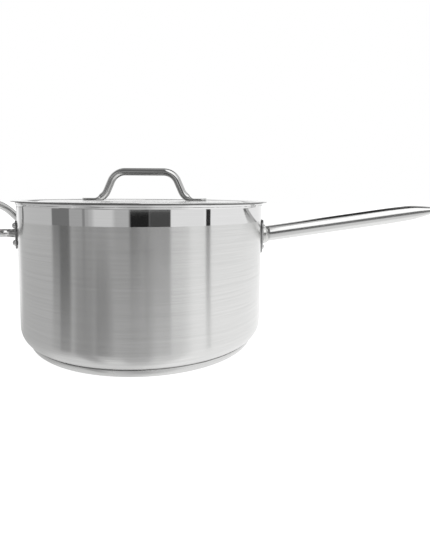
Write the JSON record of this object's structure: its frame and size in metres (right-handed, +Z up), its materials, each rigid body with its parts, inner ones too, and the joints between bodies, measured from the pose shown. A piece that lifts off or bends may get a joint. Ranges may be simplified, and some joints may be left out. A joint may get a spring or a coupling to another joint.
{
  "type": "saucepan with lid",
  "caption": "Straight-sided steel saucepan with a long tube handle, a bent-rod helper handle, an encapsulated base and a lift-off steel lid with a bent-rod handle.",
  "frame": {"origin": "centre of the flat underside of the base, on the surface the pan stands on", "axes": "+Z up along the pot's axis, +X along the long handle, the helper handle on -X"},
  "size_m": [0.4944, 0.2494, 0.175],
  "materials": {
    "satin_steel": "satin, brushed around the pot",
    "polished_steel": "polished",
    "base_aluminium": "bare",
    "base_steel": "satin"
  },
  "bodies": {
    "pot": {"pot_body": "satin_steel", "base_core_disc": "base_aluminium", "base_cap": "base_steel", "main_handle_plate": "satin_steel", "main_handle_collar": "polished_steel", "main_handle_tube": "satin_steel", "main_handle_rivet_1": "polished_steel", "main_handle_rivet_2": "polished_steel", "main_handle_rivet_3": "polished_steel", "helper_handle_plate_front": "satin_steel", "helper_handle_plate_back": "satin_steel", "helper_handle_rod": "satin_steel", "helper_handle_rivet_1": "polished_steel", "helper_handle_rivet_2": "polished_steel", "helper_handle_rivet_3": "polished_steel", "helper_handle_rivet_4": "polished_steel"},
    "lid": {"lid_cover": "polished_steel", "lid_handle": "satin_steel"}
  },
  "joints": [
    {"name": "lid_lift", "type": "slide", "parent": "pot", "child": "lid", "axis": [0, 0, 1], "range_m": [0, 0.15]}
  ]
}
